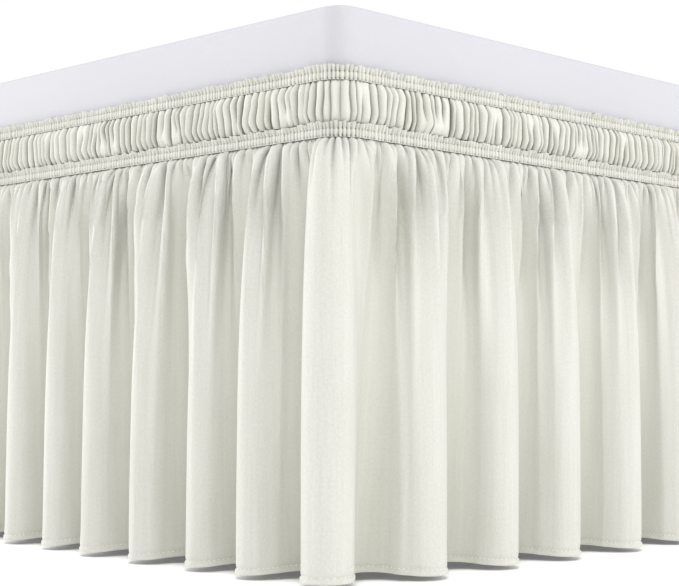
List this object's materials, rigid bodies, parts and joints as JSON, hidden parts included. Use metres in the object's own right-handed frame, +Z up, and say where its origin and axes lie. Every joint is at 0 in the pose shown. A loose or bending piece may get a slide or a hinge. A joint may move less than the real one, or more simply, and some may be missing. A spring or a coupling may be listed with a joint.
{
  "type": "bed skirt on box spring",
  "caption": "Gathered bed skirt of plain ivory cloth on two elastic bands with a ruched heading, stretched round a plain white box spring on legs.",
  "frame": {"origin": "on the floor under the middle of the bed", "axes": "+Z up, +Y along the bed from its foot to its head, +X to the right seen from the foot"},
  "size_m": [1.0628, 1.9768, 0.462],
  "materials": {
    "cloth": "ivory brushed microfibre with a faint sheen",
    "elastic": "ivory shirred elastic",
    "cover": "plain white woven cover",
    "leg": "satin stained wood"
  },
  "bodies": {
    "root": {"box_spring": "cover", "leg_foot_left": "leg", "leg_foot_right": "leg", "leg_middle_left": "leg", "leg_middle_right": "leg", "leg_head_left": "leg", "leg_head_right": "leg", "upper_band": "elastic", "heading": "cloth", "lower_band": "elastic", "drop_foot": "cloth", "drop_right": "cloth", "drop_head": "cloth", "drop_left": "cloth"}
  },
  "joints": []
}
